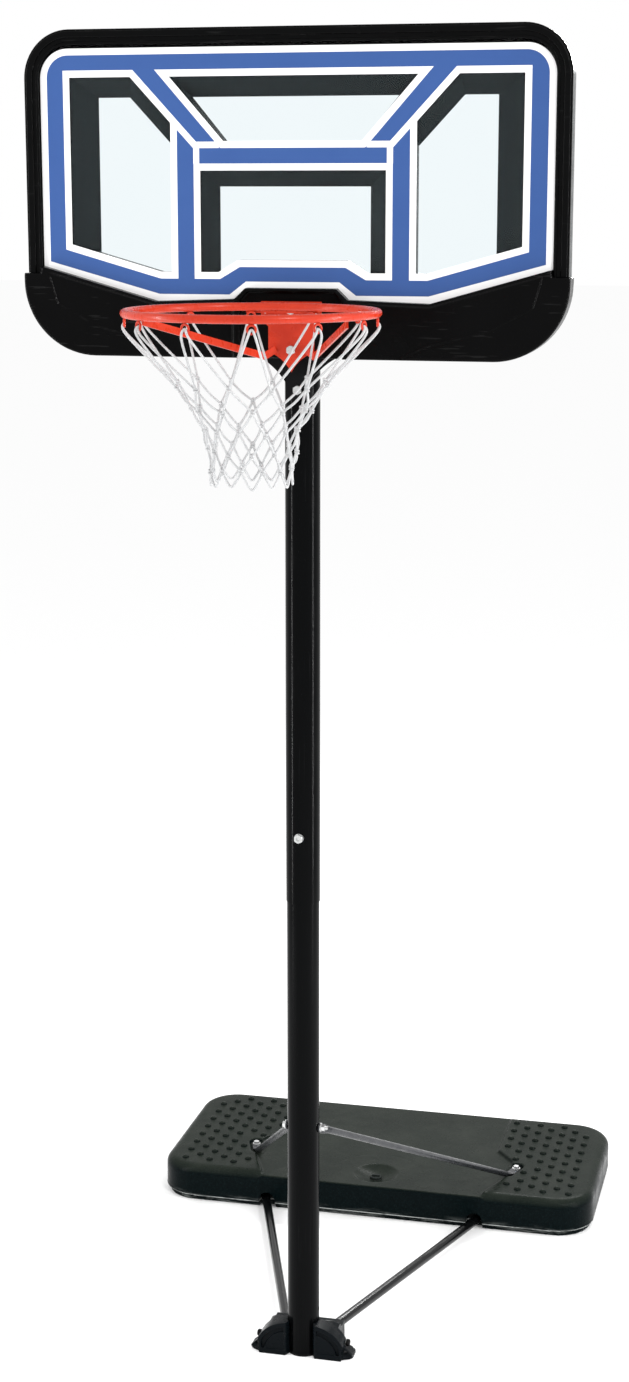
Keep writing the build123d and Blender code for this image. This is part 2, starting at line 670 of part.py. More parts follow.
STRUT_SCREW_SEAT = 8.0         # height of the screw heads' seat, under the foot
STRUT_SCREW_AT = (STRUT_AT_FOOT[0] + 1.2, STRUT_AT_FOOT[1] + 3)


def strut_screw_hole(radius, low, high):
    x, y = STRUT_SCREW_AT
    return cylinder((x, y, low), (x, y, high), radius)


def strut_screws():
    """Screws that lock the struts in the foot, driven up from below."""
    head = strut_screw_hole(5, STRUT_SCREW_SEAT - 4, STRUT_SCREW_SEAT)
    return both_sides(head + strut_screw_hole(2.9, STRUT_SCREW_SEAT, STRUT_AT_FOOT[2] - 4))


def foot_clamp_bolt():
    y, z = CLAMP_POS
    return bolt((-76, y, z), (1, 0, 0), BRACE_BOLT_R, 160, 13, 5.3)


def foot_clamp_nut():
    y, z = CLAMP_POS
    return nut((76, y, z), (1, 0, 0), BRACE_BOLT_R + 0.05, 13, 6.5)


def axle():
    return cylinder((-FOOT_HALF - 6, POLE_Y, AXLE_Z), (FOOT_HALF + 6, POLE_Y, AXLE_Z), AXLE_R)


def axle_caps():
    """Push-on caps that keep the axle in the foot."""
    cap = cylinder((FOOT_HALF + 0.2, POLE_Y, AXLE_Z), (FOOT_HALF + 8.5, POLE_Y, AXLE_Z), 8)
    cap = fillet(cap.edges().filter_by(GeomType.CIRCLE).sort_by(Axis.X)[-1], 4)
    cap -= cylinder((FOOT_HALF, POLE_Y, AXLE_Z), (FOOT_HALF + 6.2, POLE_Y, AXLE_Z), AXLE_R + 0.05)
    return both_sides(cap)


def wheel():
    """Solid moulded wheel with a dished, ribbed web, running on the axle."""
    half = WHEEL_W / 2
    rim_in = WHEEL_R - 7
    profile = outline([(AXLE_R + 0.08, -half), (11, -half), (11, -half + 6), (rim_in, -half + 6),
                       (rim_in, -half + 1), (WHEEL_R, -half + 1), (WHEEL_R, half - 1), (rim_in, half - 1),
                       (rim_in, half - 6), (11, half - 6), (11, half), (AXLE_R + 0.08, half)])
    tread = profile.vertices().filter_by(lambda v: abs(v.X - WHEEL_R) < 0.1)
    profile = fillet(tread, 4)
    rolled = revolve(Plane.XZ * profile, Axis.Z)
    for step in range(5):
        rolled += Rot(0, 0, step * 72) * box((10, rim_in + 1), (-2, 2), (-half + 3, half - 3))
    return Pos(WHEEL_X, POLE_Y, AXLE_Z) * Rot(0, 90, 0) * rolled


# ---------------------------------------------------------------- struts and braces
def strut_line():
    """Start point and unit direction of the right-hand lower strut."""
    start = Vector(*STRUT_AT_FOOT)
    return start, (Vector(*STRUT_AT_TANK) - start).normalized()


def strut_bar(diameter, wall=None):
    """Right-hand strut from its socket in the foot to its socket in the tank."""
    start, along = strut_line()
    first = start - along * 12
    last = Vector(*STRUT_AT_TANK) + along * STRUT_SOCKET
    if wall is None:
        return cylinder(tuple(first), tuple(last), diameter / 2)
    return tube(tuple(first), tuple(last), diameter, diameter - 2 * wall)


def lower_strut():
    return strut_bar(STRUT_D, wall=1.5) - strut_screw_hole(3.2, 0, STRUT_AT_FOOT[2])


def brace_ends():
    """Bolt centres of the right-hand upper brace, at the pole and at the tank."""
    pole_end = Vector(INNER_POLE_D / 2 + 0.3 + BRACE_TONGUE_T / 2, POLE_Y, BRACE_BOLT_Z)
    tank_end = Vector(BRACE_AT_TANK[0], BRACE_AT_TANK[1], BRACE_SEAT_Z + 0.2 + BRACE_TONGUE_T / 2)
    return pole_end, tank_end


def tongue(centre, facing, along, hole_r):
    """Flattened tube end: a round-nosed plate with the bolt hole in it."""
    plane = Plane(centre, x_dir=along, z_dir=facing)
    reach = 30.0
    face = Rectangle(reach, BRACE_TONGUE_W, align=(Align.MIN, Align.CENTER)) + Circle(BRACE_TONGUE_W / 2)
    face -= Circle(hole_r)
    plate = extrude(plane * face, amount=BRACE_TONGUE_T / 2, both=True)
    return plate, Plane(plane.from_local_coords((reach, 0, 0)), x_dir=plane.y_dir, z_dir=plane.x_dir)


def flattening(plate_end, tube_plane):
    """Transition from the flat end to the round tube."""
    flat = plate_end * RectangleRounded(BRACE_TONGUE_W, BRACE_TONGUE_T, BRACE_TONGUE_T * 0.45)
    round_end = tube_plane * Circle(BRACE_D / 2)
    return loft([flat.face(), round_end.face()])


def upper_brace():
    pole_end, tank_end = brace_ends()
    run = tank_end - pole_end
    flat_run = Vector(0, run.Y, run.Z).normalized()
    level_run = Vector(-run.X, -run.Y, 0).normalized()
    pole_plate, pole_plate_end = tongue(pole_end, (1, 0, 0), flat_run, BRACE_BOLT_R + CLEAR)
    tank_plate, tank_plate_end = tongue(tank_end, (0, 0, 1), level_run, BRACE_BOLT_R + CLEAR)
    tube_start = pole_end + flat_run * 62 + Vector(9, 0, 0)
    tube_stop = tank_end + level_run * 62 + Vector(0, 0, 11)
    along = (tube_stop - tube_start).normalized()
    start_plane = Plane(tube_start, x_dir=pole_plate_end.x_dir - along * along.dot(pole_plate_end.x_dir),
                        z_dir=along)
    stop_plane = Plane(tube_stop, x_dir=tank_plate_end.x_dir - along * along.dot(tank_plate_end.x_dir),
                       z_dir=-along)
    middle = cylinder(tuple(tube_start), tuple(tube_stop), BRACE_D / 2)
    middle -= cylinder(tuple(tube_start + along * 4), tuple(tube_stop - along * 4), BRACE_D / 2 - 1.5)
    return (pole_plate + flattening(pole_plate_end, start_plane) + middle
            + flattening(tank_plate_end, stop_plane) + tank_plate)


def brace_pole_bolt():
    seat = -(INNER_POLE_D / 2 + 0.3 + BRACE_TONGUE_T + 2.3)
    return bolt((seat, POLE_Y, BRACE_BOLT_Z), (1, 0, 0), BRACE_BOLT_R, 2 * -seat + 14, 13, 5.3)


def brace_pole_washers():
    face = INNER_POLE_D / 2 + 0.3 + BRACE_TONGUE_T
    ring = washer((face + 0.1, POLE_Y, BRACE_BOLT_Z), (1, 0, 0), BRACE_BOLT_R + CLEAR, 10, 2)
    return both_sides(ring)


def brace_pole_nut():
    face = INNER_POLE_D / 2 + 0.3 + BRACE_TONGUE_T + 2.3
    return nut((face, POLE_Y, BRACE_BOLT_Z), (1, 0, 0), BRACE_BOLT_R + 0.05, 13, 8)


def brace_tank_bolts():
    x, y = BRACE_AT_TANK
    seat = BRACE_SEAT_Z + 0.4 + BRACE_TONGUE_T + 2.1
    return both_sides(bolt((x, y, seat), (0, 0, -1), BRACE_BOLT_R, 30, 13, 5.3))


def brace_tank_washers():
    x, y = BRACE_AT_TANK
    seat = (x, y, BRACE_SEAT_Z + 0.3 + BRACE_TONGUE_T)
    return both_sides(washer(seat, (0, 0, 1), BRACE_BOLT_R + CLEAR, 10, 2))


def brace_tank_inserts():
    """Threaded bushes moulded into the tank under each brace."""
    x, y = BRACE_AT_TANK
    foot, top = BRACE_SEAT_Z - 28, BRACE_SEAT_Z - 0.5
    return both_sides(tube((x, y, foot), (x, y, top), 15.8, 2 * BRACE_BOLT_R + 0.1))


# ---------------------------------------------------------------- tank
def tank_plan(inset=0.0):
    centre = (TANK_FRONT + TANK_BACK) / 2
    size = (TANK_WIDTH - 2 * inset, TANK_BACK - TANK_FRONT - 2 * inset)
    return Pos(0, centre) * RectangleRounded(size[0], size[1], TANK_CORNER - inset)


DECK_EDGE = [(286, 808), (326, 905), (340, 955), (330, 1005), (284, 1065)]


def deck_plan(inset=0.0):
    """Lower middle of the tank's top, wider where the upper braces are bolted down."""
    edge = [(DECK_EDGE[0][0], TANK_FRONT - 20)] + DECK_EDGE + [(DECK_EDGE[-1][0], TANK_BACK + 20)]
    return offset(outline(symmetric(edge)), amount=inset, kind=Kind.INTERSECTION)


def tank_block(inset=0.0):
    """Outside form of the tank, or the same form shrunk by a wall thickness."""
    top = TANK_TOP - inset
    deck = TANK_DECK - inset
    ends = extrude(Pos(0, 0, TANK_FOOT_H + inset) * tank_plan(inset), amount=top - TANK_FOOT_H - inset)
    ends = fillet(ends.faces().sort_by(Axis.Z)[-1].edges(), 24 - inset)
    ends -= extrude(Pos(0, 0, deck) * deck_plan(inset), amount=20)
    middle = deck_plan(inset) & tank_plan(inset)
    span = extrude(Pos(0, 0, TANK_FOOT_H + inset) * middle, amount=deck - TANK_FOOT_H - inset)
    foot = extrude(Pos(0, 0, inset) * tank_plan(inset + 8), amount=TANK_FOOT_H)
    return ends + span + foot


def tank_seam():
    """Thin moulding seam round the lower edge, lifted over the mouths for the struts."""
    seam = extrude(Pos(0, 0, TANK_FOOT_H) * (tank_plan(-SEAM_PROUD) - tank_plan(1)), amount=1.6)
    x, y, z = STRUT_AT_TANK
    upper = outline([(x - 30, z), (x + 30, z), (x + 30, z + 30), (x - 30, z + 30)])
    arch = Pos(x, z) * (Circle(ARCH_R + 2) - Circle(ARCH_R)) & upper
    arch = slab(arch, TANK_FRONT - SEAM_PROUD, TANK_FRONT + 1)
    return seam + arch + mirror(arch, about=Plane.YZ)


def strut_arch(grow=0.0):
    """Half-round mouth in the front wall where a lower strut enters."""
    x, y, z = STRUT_AT_TANK
    reach = ARCH_R + grow
    mouth = cylinder((x, y - 20, z), (x, y + 24 + grow, z), reach)
    mouth += box((x - reach, x + reach), (y - 20, y + 24 + grow), (-EPS, z))
    return mouth


def strut_socket(radius, extra=0.0):
    start, along = strut_line()
    mouth = Vector(*STRUT_AT_TANK)
    last = mouth + along * (STRUT_SOCKET + 1 + extra)
    return cylinder(tuple(mouth), tuple(last), radius)


def brace_pocket(grow=0.0):
    """Sunk seat for the flattened end of an upper brace, open towards the pole."""
    x, y = BRACE_AT_TANK
    toward = math.degrees(math.atan2(POLE_Y - y, INNER_POLE_D / 2 - x))
    slot = Rectangle(SEAT_LENGTH, 2 * (SEAT_R + grow), align=(Align.MIN, Align.CENTER))
    slot += Circle(SEAT_R + grow) + Pos(SEAT_LENGTH, 0) * Circle(SEAT_R + grow)
    seat = BRACE_SEAT_Z - grow
    return Pos(x, y, seat) * Rot(0, 0, toward) * extrude(slot, amount=TANK_TOP + EPS - seat)


def fill_neck(radius, low, high):
    x, y = DISH_POS
    return cylinder((x, y, low), (x, y, high), radius)


def dish(grow=0.0):
    """Round bowl sunk in the deck, with a level seat for the filler at its bottom."""
    x, y = DISH_POS
    ball_r = (DISH_R ** 2 + DISH_DEPTH ** 2) / (2 * DISH_DEPTH)
    bowl = Pos(x, y, DISH_FLOOR + ball_r) * Sphere(ball_r + grow)
    bowl &= cylinder((x, y, DISH_FLOOR - 20), (x, y, TANK_DECK + EPS), DISH_R + 20)
    return bowl + fill_neck(SEAL_R + 1.5 + grow, DISH_FLOOR - grow, TANK_DECK)


def dish_ring():
    """Shallow groove, a half circle behind the dish."""
    x, y = DISH_POS
    ring = Circle(DISH_RING_R + 1.5) - Circle(DISH_RING_R - 1.5)
    ring = extrude(Pos(x, y, TANK_DECK - 1) * ring, amount=2)
    return ring & box((-200, 200), (y - 20, y + 200), (0, 200))


def base_tank():
    """Blow-moulded ballast tank: hollow, with sockets for struts, braces and filler."""
    x, y = BRACE_AT_TANK
    outside = tank_block() + tank_seam() - dish() - dish_ring()
    hollow = tank_block(TANK_WALL) - dish(TANK_WALL)
    hollow -= fill_neck(FILL_BORE_R + TANK_WALL, 48, TANK_TOP)
    for part in (strut_arch(TANK_WALL), strut_socket(STRUT_D / 2 + 0.3 + TANK_WALL, TANK_WALL),
                 brace_pocket(TANK_WALL), cylinder((x, y, 40), (x, y, 90), 13)):
        hollow -= part
        hollow -= mirror(part, about=Plane.YZ)
    tank = outside - hollow
    tank -= fill_neck(FILL_BORE_R, 40, TANK_TOP)
    for cut in (strut_arch(), strut_socket(STRUT_D / 2 + 0.3), brace_pocket(),
                cylinder((x, y, BRACE_SEAT_Z - 32), (x, y, BRACE_SEAT_Z + 1), 8)):
        tank -= cut
        tank -= mirror(cut, about=Plane.YZ)
    return tank


def fill_cap():
    """Round cap with a plug that drops into the filler neck."""
    x, y = DISH_POS
    seat = DISH_FLOOR + SEAL_T + 0.1
    head = fill_neck(SEAL_R, seat, seat + 5)
    head = fillet(head.edges().sort_by(Axis.Z)[-1], 2)
    plug = tube((x, y, seat - 15), (x, y, seat), 2 * FILL_BORE_R - 0.8, 2 * FILL_BORE_R - 5)
    grip = box((x - 10, x + 10), (y - 2.5, y + 2.5), (seat + 4, seat + 9))
    cap = head + plug + grip
    for step in range(12):
        notch = cylinder((SEAL_R + 0.6, 0, seat - EPS), (SEAL_R + 0.6, 0, seat + 6), 1.4)
        cap -= Pos(x, y, 0) * Rot(0, 0, step * 30) * notch
    return cap


def fill_seal():
    x, y = DISH_POS
    return washer((x, y, DISH_FLOOR), (0, 0, 1), FILL_BORE_R + 0.2, SEAL_R, SEAL_T)


# ---------------------------------------------------------------- write the nodes
def mirrored(shape):
    return mirror(shape, about=Plane.YZ)


export("base_tank", base_tank())
export("fill_cap", fill_cap())
export("fill_seal", fill_seal())
export("lower_pole", lower_pole())
export("lower_pole_plug", lower_pole_plug())
export("lower_pole_liner", lower_pole_liner())
export("foot_right", foot_half())
export("foot_left", mirrored(foot_half()))
export("foot_clamp_bolt", foot_clamp_bolt())
export("foot_clamp_nut", foot_clamp_nut())
export("wheel_right", wheel())
export("wheel_left", mirrored(wheel()))
export("wheel_axle", axle())
export("axle_caps", axle_caps())
export("lower_strut_right", lower_strut())
export("lower_strut_left", mirrored(lower_strut()))
export("strut_screws", strut_screws())
export("upper_brace_right", upper_brace())
export("upper_brace_left", mirrored(upper_brace()))
export("brace_pole_bolt", brace_pole_bolt())
export("brace_pole_washers", brace_pole_washers())
export("brace_pole_nut", brace_pole_nut())
export("brace_tank_bolts", brace_tank_bolts())
export("brace_tank_washers", brace_tank_washers())
export("brace_tank_inserts", brace_tank_inserts())

export("upper_pole", upper_pole())
export("upper_pole_cap", upper_pole_cap())
export("height_bolt", height_bolt())
export("height_washers", height_washers())
export("height_nut", height_nut())
export("board_bracket", board_bracket())
export("bracket_bolt", tongue_bolt())
export("bracket_nut", tongue_nut())
export("pole_saddles", pole_saddles())
export("backboard_frame", backboard_frame())
export("board_sheet", board_sheet())
export("graphic_white", graphic_white())
export("graphic_blue", graphic_blue())
export("lower_pad", lower_pad())
export("pad_screws", pad_screws())
export("rim_ring", rim_ring())
export("rim_bracket", rim_bracket())
export("rim_brace_right", rim_brace())
export("rim_brace_left", mirrored(rim_brace()))
export("rim_bolts", rim_bolts())
export("rim_washers", rim_washers())
export("rim_nuts", rim_nuts())
export("net_hooks", net_hooks())
export("net", net())
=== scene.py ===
"""Looks for the portable basketball hoop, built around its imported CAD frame."""

import json
import math
import random

import bmesh
import bpy
from mathutils import Matrix, Vector


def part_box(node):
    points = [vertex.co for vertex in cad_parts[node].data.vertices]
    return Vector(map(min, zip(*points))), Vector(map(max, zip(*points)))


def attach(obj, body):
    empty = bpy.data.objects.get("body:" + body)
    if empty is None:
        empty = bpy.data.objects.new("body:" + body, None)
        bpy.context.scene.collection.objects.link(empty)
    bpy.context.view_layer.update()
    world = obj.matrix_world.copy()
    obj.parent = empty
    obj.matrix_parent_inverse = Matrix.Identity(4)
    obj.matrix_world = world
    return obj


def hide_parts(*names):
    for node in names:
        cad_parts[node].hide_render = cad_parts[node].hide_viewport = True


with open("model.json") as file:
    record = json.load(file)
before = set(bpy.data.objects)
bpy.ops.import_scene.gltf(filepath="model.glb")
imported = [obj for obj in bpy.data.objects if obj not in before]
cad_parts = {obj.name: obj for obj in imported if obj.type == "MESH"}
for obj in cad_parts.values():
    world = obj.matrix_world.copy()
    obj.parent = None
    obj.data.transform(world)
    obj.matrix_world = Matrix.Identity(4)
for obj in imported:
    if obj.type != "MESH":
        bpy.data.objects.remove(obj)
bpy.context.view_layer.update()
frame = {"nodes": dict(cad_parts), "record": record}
nodes = frame["nodes"]

# ---------------------------------------------------------------- places taken from the frame
ring_low, ring_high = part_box("rim_ring")
RING_CENTRE = (ring_low + ring_high) / 2
RING_ROD_R = (ring_high.z - ring_low.z) / 2
RING_R = (ring_high.x - ring_low.x) / 2 - RING_ROD_R
tank_low, tank_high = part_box("base_tank")
sheet_low, sheet_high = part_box("board_sheet")
SHEET_FACE_Y = sheet_low.y
pole_low, pole_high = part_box("lower_pole")
POLE_Y = (pole_low.y + pole_high.y) / 2


# ---------------------------------------------------------------- camera, light and floor
CAMERA_X = 1.1355
CAMERA_REACH = 4.5698          # in front of the clear sheet
CAMERA_HEIGHT = 2.537
CAMERA_TILT = 0.2115           # down from level
CAMERA_TURN = 0.2342           # towards the pole
FLOOR_HALF = 60.0


def make_camera():
    """The viewpoint is to the right of the ring, above it, looking down at the whole hoop."""
    data = bpy.data.cameras.new("camera")
    data.sensor_width = 36.0
    data.lens = 60.65
    data.clip_end = 100.0
    camera = bpy.data.objects.new("camera", data)
    camera.location = (CAMERA_X, SHEET_FACE_Y - CAMERA_REACH, CAMERA_HEIGHT)
    camera.rotation_euler = (math.radians(90) - CAMERA_TILT, 0, CAMERA_TURN)
    bpy.context.scene.collection.objects.link(camera)
    bpy.context.scene.camera = camera


def area_light(name, location, target, size, power):
    """Rectangular light that faces its target; sizes in metres, power in watts."""
    data = bpy.data.lights.new(name, "AREA")
    data.shape = "RECTANGLE"
    data.size, data.size_y = size
    data.energy = power
    light = bpy.data.objects.new(name, data)
    light.location = location
    light.rotation_euler = (Vector(target) - Vector(location)).to_track_quat("-Z", "Y").to_euler()
    bpy.context.scene.collection.objects.link(light)


def make_studio():
    """White surroundings, one soft light, two tall strips and a low wide light behind."""
    bpy.context.scene.view_settings.view_transform = "Standard"
    world = bpy.data.worlds.new("studio")
    world.use_nodes = True
    sky = world.node_tree.nodes["Background"]
    sky.inputs["Color"].default_value = (1.0, 1.0, 1.0, 1)
    sky.inputs["Strength"].default_value = 1.0
    bpy.context.scene.world = world
    area_light("key", (3.4, -3.6, 4.6), (0, 0, 1.6), (0.5, 0.5), 105)
    area_light("strip_right", (3.2, -0.6, 1.7), (0, -0.2, 1.2), (0.1, 3.2), 80)
    area_light("strip_left", (-2.6, -1.6, 1.7), (0, -0.2, 1.2), (0.08, 3.2), 60)
    area_light("back", (0.5, 3.6, 3.2), (0, 0.4, 0.6), (2.4, 0.15), 90)

    mesh = bpy.data.meshes.new("floor")
    half = FLOOR_HALF
    corners = [(-half, -half, 0), (half, -half, 0), (half, half, 0), (-half, half, 0)]
    mesh.from_pydata(corners, [], [(0, 1, 2, 3)])
    floor = bpy.data.objects.new("floor", mesh)
    bpy.context.scene.collection.objects.link(floor)
    material = bpy.data.materials.new("floor_white")
    material.use_nodes = True
    shader = material.node_tree.nodes["Principled BSDF"]
    shader.inputs["Base Color"].default_value = (0.97, 0.97, 0.97, 1)
    shader.inputs["Roughness"].default_value = 0.9
    shader.inputs["Specular IOR Level"].default_value = 0.0
    mesh.materials.append(material)


# ---------------------------------------------------------------- material kit
class Graph:
    """Short-hand for building one Principled material out of nodes."""

    def __init__(self, name, color, roughness, metallic=0.0, coat=0.0, specular=0.5):
        self.material = bpy.data.materials.new(name)
        self.material.use_nodes = True
        self.tree = self.material.node_tree
        self.shader = self.tree.nodes["Principled BSDF"]
        self.shader.inputs["Base Color"].default_value = (*color, 1)
        self.shader.inputs["Roughness"].default_value = roughness
        self.shader.inputs["Metallic"].default_value = metallic
        self.shader.inputs["Coat Weight"].default_value = coat
        self.shader.inputs["Coat Roughness"].default_value = 0.12
        self.shader.inputs["Specular IOR Level"].default_value = specular
        self.place = self.node("ShaderNodeTexCoord").outputs["Object"]
        self.last_bump = None

    def node(self, kind):
        return self.tree.nodes.new(kind)

    def link(self, source, target):
        self.tree.links.new(source, target)

    def stretched(self, scale):
        """Object coordinates scaled differently along each axis."""
        mapping = self.node("ShaderNodeMapping")
        mapping.inputs["Scale"].default_value = scale
        self.link(self.place, mapping.inputs["Vector"])
        return mapping.outputs["Vector"]

    def noise(self, scale, detail=4.0, rough=0.55, where=None):
        node = self.node("ShaderNodeTexNoise")
        node.inputs["Scale"].default_value = scale
        node.inputs["Detail"].default_value = detail
        node.inputs["Roughness"].default_value = rough
        self.link(where or self.place, node.inputs["Vector"])
        return node.outputs["Fac"]

    def cells(self, scale):
        node = self.node("ShaderNodeTexVoronoi")
        node.inputs["Scale"].default_value = scale
        self.link(self.place, node.inputs["Vector"])
        return node.outputs["Distance"]

    def ramp(self, source, low, high, start=0.0, stop=1.0):
        """Map source from [low, high] onto [start, stop], held at both ends."""
        node = self.node("ShaderNodeMapRange")
        node.inputs["From Min"].default_value = low
        node.inputs["From Max"].default_value = high
        node.inputs["To Min"].default_value = start
        node.inputs["To Max"].default_value = stop
        self.link(source, node.inputs["Value"])
        return node.outputs["Result"]

    def multiply(self, first, second):
        node = self.node("ShaderNodeMath")
        node.operation = "MULTIPLY"
        self.link(first, node.inputs[0])
        self.link(second, node.inputs[1])
        return node.outputs[0]

    def height(self, axis="Z"):
        node = self.node("ShaderNodeSeparateXYZ")
        self.link(self.place, node.inputs[0])
        return node.outputs[axis]

    def facing_up(self):
        """1 on faces that look up, 0 on walls."""
        geometry = self.node("ShaderNodeNewGeometry")
        split = self.node("ShaderNodeSeparateXYZ")
        self.link(geometry.outputs["Normal"], split.inputs[0])
        return self.ramp(split.outputs["Z"], 0.2, 0.95)

    def tint(self, factor, color, base=None):
        """Blend a colour over what the base colour socket already has."""
        mix = self.node("ShaderNodeMix")
        mix.data_type = "RGBA"
        self.link(factor, mix.inputs["Factor"])
        socket = self.shader.inputs["Base Color"]
        if socket.is_linked:
            self.link(socket.links[0].from_socket, mix.inputs["A"])
        else:
            mix.inputs["A"].default_value = socket.default_value
        mix.inputs["B"].default_value = (*color, 1)
        self.link(mix.outputs["Result"], socket)

    def roughness(self, source):
        self.link(source, self.shader.inputs["Roughness"])

    def bump(self, source, depth, strength=1.0):
        """Add one layer of bump, depth in metres."""
        node = self.node("ShaderNodeBump")
        node.inputs["Strength"].default_value = strength
        node.inputs["Distance"].default_value = depth
        self.link(source, node.inputs["Height"])
        if self.last_bump:
            self.link(self.last_bump, node.inputs["Normal"])
        self.last_bump = node.outputs["Normal"]
        self.link(self.last_bump, self.shader.inputs["Normal"])


# ---------------------------------------------------------------- materials
def tank_plastic():
    """Blow-moulded recycled polyethylene: speckled, with a paler top and darker walls; the paler top is
    partly dust and wear, partly painted light from above, and the darker walls partly painted shade.
    """
    g = Graph("tank_plastic", (0.0005, 0.0022, 0.0026), 0.26, specular=0.035)
    g.tint(g.ramp(g.noise(420.0, 2), 0.52, 0.7, 0, 0.6), (0.006, 0.013, 0.014))
    top_dust_and_light = g.facing_up()
    # painted light: faces that look up are tinted paler than the walls; this is partly dust and partly
    # light falling from above
    g.tint(top_dust_and_light, (0.0125, 0.0165, 0.013))
    g.tint(g.multiply(top_dust_and_light, g.ramp(g.noise(3.0, 3), 0.35, 0.65, 0, 0.5)), (0.0065, 0.009, 0.0072))
    g.tint(g.multiply(top_dust_and_light, g.ramp(g.noise(420.0, 2), 0.52, 0.7, 0, 0.45)), (0.028, 0.034, 0.028))
    dark = g.ramp(g.noise(260.0, 2, where=g.stretched((1.2, 0.8, 1))), 0.55, 0.72, 0, 0.6)
    g.tint(dark, (0.002, 0.004, 0.004))
    low = g.ramp(g.height(), 0.03, 0.004)
    scuff = g.ramp(g.noise(60.0, 6, 0.7, g.stretched((0.25, 0.25, 2.0))), 0.5, 0.68)
    g.tint(g.multiply(low, scuff), (0.12, 0.13, 0.125))
    above = g.ramp(g.height(), 0.0135, 0.0145)
    below = g.ramp(g.height(), 0.0175, 0.0165)
    seam = g.ramp(g.multiply(above, below), 0.1, 0.9, 0, 0.75)
    g.tint(g.multiply(seam, g.ramp(g.noise(30.0, 4), 0.35, 0.55, 0.3, 1)), (0.42, 0.44, 0.43))
    g.tint(g.multiply(top_dust_and_light, g.ramp(g.noise(9.0, 5, 0.65), 0.45, 0.75, 0, 0.3)), (0.04, 0.045, 0.037))
    g.roughness(g.ramp(g.noise(35.0, 4), 0.3, 0.7, 0.22, 0.4))
    g.bump(g.noise(14.0, 2), 0.0012, 0.4)
    g.bump(g.noise(900.0, 3), 0.0002, 0.7)
    return g


def gloss_black(name, color=(0.0014, 0.0016, 0.0018), rough=0.1, specular=0.045):
    """Powder coat on steel tube: gloss with a faint orange peel and fine rub marks along it."""
    g = Graph(name, color, rough, specular=specular)
    rubs = g.ramp(g.noise(240.0, 3, where=g.stretched((1.0, 1.0, 0.02))), 0.58, 0.72)
    g.tint(g.multiply(rubs, g.ramp(g.noise(5.0, 3), 0.5, 0.7, 0, 0.3)), (0.02, 0.02, 0.021))
    g.roughness(g.ramp(g.noise(16.0, 5, 0.6), 0.3, 0.75, rough - 0.04, rough + 0.16))
    g.bump(g.noise(320.0, 2), 0.00008, 0.5)
    return g


def brace_paint():
    """Thin dark grey coating on the braces, paler in patches on the faces that look up."""
    g = Graph("brace_paint", (0.03, 0.032, 0.036), 0.2, metallic=0.6, coat=0.1, specular=0.3)
    g.tint(g.multiply(g.facing_up(), g.ramp(g.noise(90.0, 4), 0.45, 0.7, 0, 0.6)), (0.11, 0.11, 0.115))
    g.roughness(g.ramp(g.noise(45.0, 4), 0.3, 0.7, 0.22, 0.45))
    g.bump(g.noise(500.0, 2), 0.00008, 0.6)
    return g


def black_plastic(name, color, rough, grain=1100.0, depth=0.00012):
    """Moulded plastic with a fine spark-eroded grain and a little pale dust."""
    g = Graph(name, color, rough, specular=0.05)
    g.tint(g.ramp(g.noise(7.0, 4), 0.35, 0.7, 0, 0.4), tuple(c * 1.7 for c in color))
    dust = g.multiply(g.facing_up(), g.ramp(g.noise(30.0, 5, 0.7), 0.5, 0.75, 0, 0.3))
    g.tint(dust, (0.05, 0.05, 0.049))
    scratch = g.ramp(g.noise(180.0, 2, where=g.stretched((0.06, 1.0, 1.0))), 0.66, 0.7, 0, 0.16)
    g.tint(scratch, (0.04, 0.04, 0.04))
    g.roughness(g.ramp(g.noise(25.0, 4), 0.3, 0.7, rough - 0.08, rough + 0.1))
    g.bump(g.cells(grain), depth, 0.7)
    g.bump(g.noise(9.0, 2), 0.0004, 0.3)
    return g


def frame_plastic():
    """The frame's black, with the bevels behind the clear sheet painted paler and blue-grey as a
    painted sheen.
    """
    g = black_plastic("frame_plastic", (0.0016, 0.0017, 0.0018), 0.2)
    painted_bevel_sheen = g.ramp(g.height("Y"), sheet_high.y, sheet_high.y + 0.001, 0, 0.85)
    # painted sheen: bevels behind the clear sheet are tinted pale blue-grey in place of the light and
    # reflection they show
    g.tint(painted_bevel_sheen, (0.018, 0.023, 0.0245))
    return g


def rim_paint():
    """Orange-red powder coat, with a few chips down to dark primer and rubbed high spots."""
    g = Graph("rim_paint", (0.5, 0.032, 0.01), 0.16, coat=0.08, specular=0.2)
    g.tint(g.ramp(g.noise(22.0, 4), 0.4, 0.7, 0, 0.45), (0.38, 0.02, 0.007))
    g.tint(g.ramp(g.noise(150.0, 3), 0.6, 0.75, 0, 0.4), (0.56, 0.06, 0.02))
    chips = g.ramp(g.noise(210.0, 5, 0.75), 0.7, 0.715)
    g.tint(chips, (0.06, 0.035, 0.03))
    g.roughness(g.ramp(g.noise(60.0, 4), 0.3, 0.7, 0.2, 0.42))
    g.bump(g.noise(380.0, 2), 0.0001, 0.7)
    g.bump(chips, -0.0001, 0.6)
    return g


def zinc_steel():
    """Bright zinc plating: cloudy, slightly warm in places, with fine turning marks."""
    g = Graph("zinc_steel", (0.66, 0.67, 0.67), 0.28, metallic=1.0)
    g.tint(g.ramp(g.noise(160.0, 3), 0.4, 0.7, 0, 0.5), (0.52, 0.52, 0.5))
    g.tint(g.ramp(g.noise(420.0, 3), 0.62, 0.75, 0, 0.4), (0.45, 0.4, 0.3))
    g.roughness(g.ramp(g.noise(300.0, 4), 0.3, 0.7, 0.18, 0.42))
    g.bump(g.noise(900.0, 2), 0.00006, 0.6)
    return g


def clear_sheet():
    """Polycarbonate: clear, with a cool tint and the lightest haze of handling."""
    g = Graph("clear_sheet", (0.88, 0.945, 0.965), 0.03, specular=0.2)
    g.shader.inputs["Transmission Weight"].default_value = 1.0
    g.shader.inputs["IOR"].default_value = 1.2
    g.tint(g.ramp(g.noise(5.0, 3), 0.4, 0.7, 0, 0.35), (0.86, 0.935, 0.955))
    g.roughness(g.ramp(g.noise(40.0, 5, 0.7), 0.5, 0.8, 0.015, 0.07))
    return g


